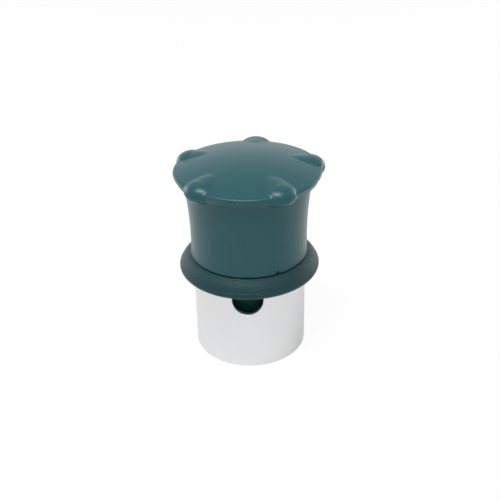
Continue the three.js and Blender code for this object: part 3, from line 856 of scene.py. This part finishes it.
def square_border(first_row, start, side, wide):
    """Indices of the vertices round the square that a hole takes out of the grid."""
    border = [(first_row, start + k) for k in range(side)]
    border += [(first_row + k, start + side) for k in range(side)]
    border += [(first_row + side, start + side - k) for k in range(side)]
    border += [(first_row + side - k, start) for k in range(side)]
    return [row * wide + column for row, column in border]


def ring_to_hole(vertices, square, share, radius, centre, height, hole):
    """Adds a ring a share of the way from the square in to a round hole, and gives its indices."""
    made = []
    for index in square:
        place = vertices[index]
        across = radius * math.sin(math.atan2(place.x, -place.y) - centre)
        up = place.z - height
        goal = 1 + (hole / math.hypot(across, up) - 1) * share
        azimuth = centre + math.asin(across * goal / radius)
        made.append(len(vertices))
        vertices.append(around(radius, azimuth, height + up * goal))
    return made


def ported_wall(sizes, radius, foot, top, hole, columns=28, side=16):
    """A cylinder wall with two round holes: its vertices, quads, hole rings, bottom ring and top ring."""
    half = sizes.port_radius + PORT_MARGIN
    height = sizes.port_height
    centres = [sizes.port_azimuth, sizes.port_azimuth + math.pi]
    azimuths = wall_azimuths(centres, math.asin(half / radius), columns, side)
    rows_below = 12
    levels = list(np.linspace(foot, height - half, rows_below))
    levels += list(np.linspace(height - half, height + half, side + 1))[1:]
    levels += list(np.linspace(height + half, top, 3))[1:]
    vertices = [around(radius, a, z) for z in levels for a in azimuths]
    wide = len(azimuths)
    first_row = rows_below - 1
    openings = [0, side + 1 + columns - 2]
    faces = []
    for row in range(len(levels) - 1):
        for column in range(wide):
            in_rows = first_row <= row < first_row + side
            in_columns = any(start <= column < start + side for start in openings)
            if in_rows and in_columns:
                continue
            right = (column + 1) % wide
            here, above = row * wide, (row + 1) * wide
            faces.append((here + column, here + right, above + right, above + column))
    rims = []
    for centre, start in zip(centres, openings):
        square = square_border(first_row, start, side, wide)
        ring = square
        for share in (0.5, 1.0):
            made = ring_to_hole(vertices, square, share, radius, centre, height, hole)
            faces += ring_faces(ring, made)
            ring = made
        rims.append(ring)
    last = (len(levels) - 1) * wide
    return vertices, faces, rims, list(range(wide)), [last + k for k in range(wide)]


def port_edge(vertices, rim, sizes, radius):
    """Adds the inner ring of the chamfer round a port, and gives its indices."""
    shrink = sizes.port_radius / (sizes.port_radius + sizes.port_break)
    start = len(vertices)
    for index in rim:
        place = vertices[index]
        azimuth = round(math.atan2(place.x, -place.y) / math.pi) * math.pi + sizes.port_azimuth
        side = Vector((math.cos(azimuth), math.sin(azimuth), 0))
        way = Vector((math.sin(azimuth), -math.cos(azimuth), 0))
        across = place.dot(side) * shrink
        deep = math.sqrt(radius**2 - across**2) - sizes.port_break
        up = sizes.port_height + (place.z - sizes.port_height) * shrink
        vertices.append(side * across + way * deep + Vector((0, 0, up)))
    return list(range(start, len(vertices)))


class VALVE_OT_skirt(bpy.types.Operator):
    """Makes the metal skirt with its round steam ports"""

    bl_idname = "valve.skirt"
    bl_label = "Skirt"

    def execute(self, context):
        sizes = context.scene.valve_base
        top = top_of("skirt")
        outer = radius_of("skirt")
        inner = outer - sizes.skirt_wall
        plate_foot = top - sizes.skirt_wall
        low = SKIRT_ROUND
        wall_out = ported_wall(sizes, outer, low, top - SKIRT_ROUND, sizes.port_radius + sizes.port_break)
        wall_in = ported_wall(sizes, inner, low, plate_foot - SKIRT_ROUND, sizes.port_radius)
        vertices, faces, rims_out, bottom_out, top_out = wall_out
        count = len(vertices)
        vertices += wall_in[0]
        faces += [tuple(count + i for i in reversed(face)) for face in wall_in[1]]
        rims_in = [[count + i for i in ring] for ring in wall_in[2]]
        bottom_in = [count + i for i in wall_in[3]]
        top_in = [count + i for i in wall_in[4]]
        for rim_out, rim_in in zip(rims_out, rims_in):
            middle = port_edge(vertices, rim_out, sizes, outer)
            faces += ring_faces(rim_out, middle) + ring_faces(middle, rim_in)
        azimuths = [math.atan2(vertices[i].x, -vertices[i].y) for i in bottom_out]

        def ring_at(radius, height):
            start = len(vertices)
            vertices.extend(around(radius, azimuth, height) for azimuth in azimuths)
            return list(range(start, len(vertices)))

        ring = bottom_out
        rim = edge_round(outer, low, -1, -1, (30, 60, 90)) + edge_round(inner, low, 1, -1, (90, 60, 30))
        for radius, height in rim:
            made = ring_at(radius, height)
            faces += ring_faces(made, ring)
            ring = made
        faces += ring_faces(bottom_in, ring)
        ring = top_out
        plate = edge_round(outer, top - SKIRT_ROUND, -1, 1, (30, 60, 90))
        plate += [(PLATE_HOLE, top), (PLATE_HOLE, plate_foot), (inner - SKIRT_ROUND, plate_foot)]
        for radius, height in plate:
            made = ring_at(radius, height)
            faces += ring_faces(ring, made)
            ring = made
        faces += ring_faces(ring, top_in)
        piece = cleaned(new_piece("ported_skirt", vertices, faces))
        cut_by(piece, screw_drills(plate_foot, top))
        finished(piece, "skirt", "base", "satin_steel")
        return {"FINISHED"}


class VALVE_OT_steam_guide(bpy.types.Operator):
    """Makes the steam guide that stands in the skirt and takes the vent pipe"""

    bl_idname = "valve.steam_guide"
    bl_label = "Steam guide"

    def execute(self, context):
        sizes = context.scene.valve_base
        foot = bottom_of("steam_guide")
        top = top_of("steam_guide")
        clip = (bottom_of("retaining_clip") + top_of("retaining_clip")) / 2
        seat = top_of("seat_bush")
        corners = [
            (sizes.socket, foot, 0.6 * MM),
            (sizes.guide_radius, foot, 0.5 * MM),
            (sizes.guide_radius, top - sizes.guide_flange, 0.4 * MM),
            (radius_of("steam_guide"), top - sizes.guide_flange, 0.4 * MM),
            (radius_of("steam_guide"), top, 0.2 * MM),
            (sizes.chamber, top, 0.2 * MM),
            (sizes.chamber, seat, 0.1 * MM),
            (sizes.socket, seat, 0.1 * MM),
            (sizes.socket, clip + CLIP_GROOVE, 0.1 * MM),
            (sizes.socket + CLIP_GROOVE, clip + CLIP_GROOVE, 0.1 * MM),
            (sizes.socket + CLIP_GROOVE, clip - CLIP_GROOVE, 0.1 * MM),
            (sizes.socket, clip - CLIP_GROOVE, 0.1 * MM),
        ]
        piece = turned("steam_guide_tube", softened(corners), 160)
        cross = sizes.port_azimuth + math.pi / 2
        height = (seat + bottom_of("valve_needle") + NEEDLE_FLANGE_RISE) / 2
        cutters = [drill(Vector((0, 0, height)), around(1, cross), sizes.cross_port, 2 * sizes.guide_radius)]
        cut_by(piece, cutters + screw_drills(top - sizes.guide_flange, top))
        finished(piece, "steam_guide", "base", "dark_plastic")
        return {"FINISHED"}


class VALVE_OT_socket_fittings(bpy.types.Operator):
    """Makes the wire clip, the pipe seal and the seat bush inside the socket"""

    bl_idname = "valve.socket_fittings"
    bl_label = "Socket fittings"

    def execute(self, context):
        sizes = context.scene.valve_base
        wall = sizes.socket - 0.1 * MM
        low, high = bottom_of("retaining_clip"), top_of("retaining_clip")
        gap = math.radians(30)
        bend = [around(wall, a, (low + high) / 2) for a in np.linspace(gap, 2 * math.pi - gap, 96)]
        clip = swept("wire_clip", bend, (high - low) / 2)
        finished(clip, "retaining_clip", "base", "spring_steel")
        low, high = bottom_of("pipe_seal"), top_of("pipe_seal")
        nose = wall - SEAL_DEPTH
        seal_corners = [
            (nose, (low + high) / 2, 0.3 * MM),
            (nose + 0.6 * MM, low, 0.4 * MM),
            (wall, low, 0.3 * MM),
            (wall, high, 0.3 * MM),
            (nose + 0.6 * MM, high, 0.4 * MM),
        ]
        seal = turned("pipe_seal_ring", softened(seal_corners), 128)
        finished(seal, "pipe_seal", "base", "silicone")
        low, high = bottom_of("seat_bush"), top_of("seat_bush")
        bore = sizes.seat_bore
        bush_corners = [
            (bore, low, 0.25 * MM),
            (nose - GAP, low, 0.15 * MM),
            (nose - GAP, low + sizes.seat_land, 0),
            (wall, low + sizes.seat_land, 0.4 * MM),
            (wall, high, 0.1 * MM),
            (2 * bore, high, 0.1 * MM),
            (bore, high - bore, 0.1 * MM),
        ]
        bush = turned("seat_bush_turned", softened(bush_corners), 128)
        finished(bush, "seat_bush", "base", "brass")
        return {"FINISHED"}


class VALVE_OT_spring(bpy.types.Operator):
    """Makes the pressure spring; the share of its length that stays at full needle lift is worked out but not
    used
    """

    bl_idname = "valve.spring"
    bl_label = "Pressure spring"

    def execute(self, context):
        sizes = context.scene.valve_base
        low, high = bottom_of("pressure_spring"), top_of("pressure_spring")
        wire = sizes.spring_wire
        mean = radius_of("pressure_spring") - wire
        path = []
        for t in np.linspace(0, 1, sizes.spring_turns * 36 + 1):
            height = low + wire + t * (high - low - 2 * wire)
            path.append(around(mean, 2 * math.pi * sizes.spring_turns * t, height))
        piece = swept("spring_coil", path, wire)
        finished(piece, "pressure_spring", "base", "spring_steel")
        lift = next(j for j in frame["record"]["behaviour"]["joints"] if j["name"] == "needle_lift")
        keep = 1 - lift["range_m"][1] / (high - low)
        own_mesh(piece)
        return {"FINISHED"}


class VALVE_OT_screws(bpy.types.Operator):
    """Makes the socket-head screws that hold the base together"""

    bl_idname = "valve.screws"
    bl_label = "Screws"

    def execute(self, context):
        sizes = context.scene.valve_base
        head_top = top_of("steam_guide") - sizes.guide_flange
        for name, place in screw_centres().items():
            low, high = bottom_of(name), top_of(name)
            head = radius_of(name)
            corners = [
                (0, low, 0),
                (head, low, 0.3 * MM),
                (head, head_top, 0.1 * MM),
                (SCREW_SHANK, head_top, 0.1 * MM),
                (SCREW_SHANK, high, 0.3 * MM),
                (0, high, 0),
            ]
            piece = turned("socket_" + name, softened(corners), 48)
            cut_by(piece, [drill(Vector((0, 0, low)), (0, 0, 1), HEX_RADIUS, HEX_DEPTH, 6)])
            piece.data.transform(Matrix.Translation(place))
            finished(piece, name, "base", "spring_steel")
        return {"FINISHED"}


class VALVE_OT_hidden_pieces(bpy.types.Operator):
    """Gives every CAD piece its finish, for those that stay"""

    bl_idname = "valve.hidden_pieces"
    bl_label = "Inner pieces"

    def execute(self, context):
        for row in frame["record"]["subparts"]:
            node = frame["nodes"][row["node"]]
            node.data.materials.clear()
            node.data.materials.append(finish_of(row["material_slot"]))
        return {"FINISHED"}


# ---------- Studio ----------


class VALVE_OT_stage(bpy.types.Operator):
    """Sets out the pale floor, the soft lamps, the white surround and the camera"""

    bl_idname = "valve.stage"
    bl_label = "Studio"

    def execute(self, context):
        scene = context.scene
        make_floor()
        make_surround(scene)
        make_lamp("key_lamp", (-0.1, -0.24, 0.78), (0.6, 0.3), 5.6)
        make_lamp("left_lamp", (-0.52, 0.4, 0.08), (0.4, 0.3), 1.0)
        make_lamp("right_lamp", (0.52, 0.4, 0.08), (0.4, 0.3), 1.0)
        make_camera(scene)
        scene.view_settings.view_transform = "Standard"
        return {"FINISHED"}


def make_floor():
    """A wide pale floor that shows as white and keeps a soft shadow."""
    half = 6.0
    level = -0.05 * MM
    corners = [(x * half, y * half, level) for x, y in ((-1, -1), (1, -1), (1, 1), (-1, 1))]
    floor = new_piece("floor", corners, [(0, 1, 2, 3)])
    material, shader = new_material("pale_floor")
    matte = shader.node("BsdfDiffuse", inputs={"Color": (0.93, 0.93, 0.93)})
    white = shader.node("Emission", inputs={"Color": (1, 1, 1), "Strength": 1.0})
    seen = shader.node("LightPath", output="Is Camera Ray")
    mixed = shader.node("MixShader", inputs={0: seen * 0.92, 1: matte, 2: white})
    shader.node("OutputMaterial", inputs={"Surface": mixed})
    floor.data.materials.append(material)


def make_surround(scene):
    """A white world for what is seen and mirrored, and a plain level of light for the rest."""
    world = bpy.data.worlds.new("surround")
    scene.world = world
    world.use_nodes = True
    shader = Shader(world.node_tree)
    camera = shader.node("LightPath", output="Is Camera Ray")
    mirror = shader.node("LightPath", output="Is Glossy Ray")
    glass = shader.node("LightPath", output="Is Transmission Ray")
    seen = camera.maths("MAXIMUM", camera.maths("MAXIMUM", camera, mirror), glass)
    ambient = 0.42
    sky = shader.node("Background", inputs={"Color": (1, 1, 1), "Strength": ambient + seen * (1 - ambient)})
    shader.node("OutputWorld", inputs={"Surface": sky})


def make_lamp(name, place, size, power):
    """A soft rectangular lamp that faces the valve."""
    light = bpy.data.lights.new(name, "AREA")
    light.shape = "RECTANGLE"
    light.size, light.size_y = size
    light.energy = power
    lamp = linked(name, light)
    aim = Vector(place) - Vector((0, 0, 0.03))
    lamp.matrix_world = Matrix.Translation(place) @ aim.to_track_quat("Z", "Y").to_matrix().to_4x4()


def make_camera(scene):
    """The camera, a little above the valve and close to it."""
    distance = 250.4 * MM
    pitch = math.radians(29.5)
    lean = math.radians(-1.19)
    aim = Vector((0, 0, 31.8 * MM))
    place = aim + Vector((0.25 * MM, -distance * math.cos(pitch), distance * math.sin(pitch)))
    data = bpy.data.cameras.new("camera")
    data.sensor_width = 36
    data.lens = 57.6
    data.clip_start = 0.01
    camera = linked("camera", data)
    turned_down = Matrix.Rotation(math.pi / 2 - pitch, 4, "X")
    camera.matrix_world = Matrix.Translation(place) @ turned_down @ Matrix.Rotation(lean, 4, "Z")
    scene.camera = camera


# ---------- Add-on ----------


class VALVE_PT_panel(bpy.types.Panel):
    """Lists the valve's pieces and settings"""

    bl_label = "Steam regulator valve"
    bl_idname = "VALVE_PT_panel"
    bl_space_type = "VIEW_3D"
    bl_region_type = "UI"
    bl_category = "Valve"

    def draw(self, context):
        for operator in OPERATORS:
            self.layout.operator(operator.bl_idname)
        for name, group in GROUPS.items():
            box = self.layout.box()
            for key in group.__annotations__:
                box.prop(getattr(context.scene, name), key)


GROUPS = {
    "valve_cap": ValveCapSizes,
    "valve_barrel": ValveBarrelSizes,
    "valve_base": ValveBaseSizes,
    "valve_colours": ValveColours,
}

OPERATORS = (
    VALVE_OT_hidden_pieces,
    VALVE_OT_cap,
    VALVE_OT_barrel,
    VALVE_OT_collar,
    VALVE_OT_skirt,
    VALVE_OT_steam_guide,
    VALVE_OT_socket_fittings,
    VALVE_OT_spring,
    VALVE_OT_screws,
    VALVE_OT_stage,
)


def register():
    for cls in (*GROUPS.values(), *OPERATORS, VALVE_PT_panel):
        bpy.utils.register_class(cls)
    for name, group in GROUPS.items():
        setattr(bpy.types.Scene, name, bpy.props.PointerProperty(type=group))


def unregister():
    for name in GROUPS:
        delattr(bpy.types.Scene, name)
    for cls in reversed((*GROUPS.values(), *OPERATORS, VALVE_PT_panel)):
        bpy.utils.unregister_class(cls)


def main():
    register()
    for operator in OPERATORS:
        group, name = operator.bl_idname.split(".")
        getattr(getattr(bpy.ops, group), name)()


if __name__ == "__main__":
    main()
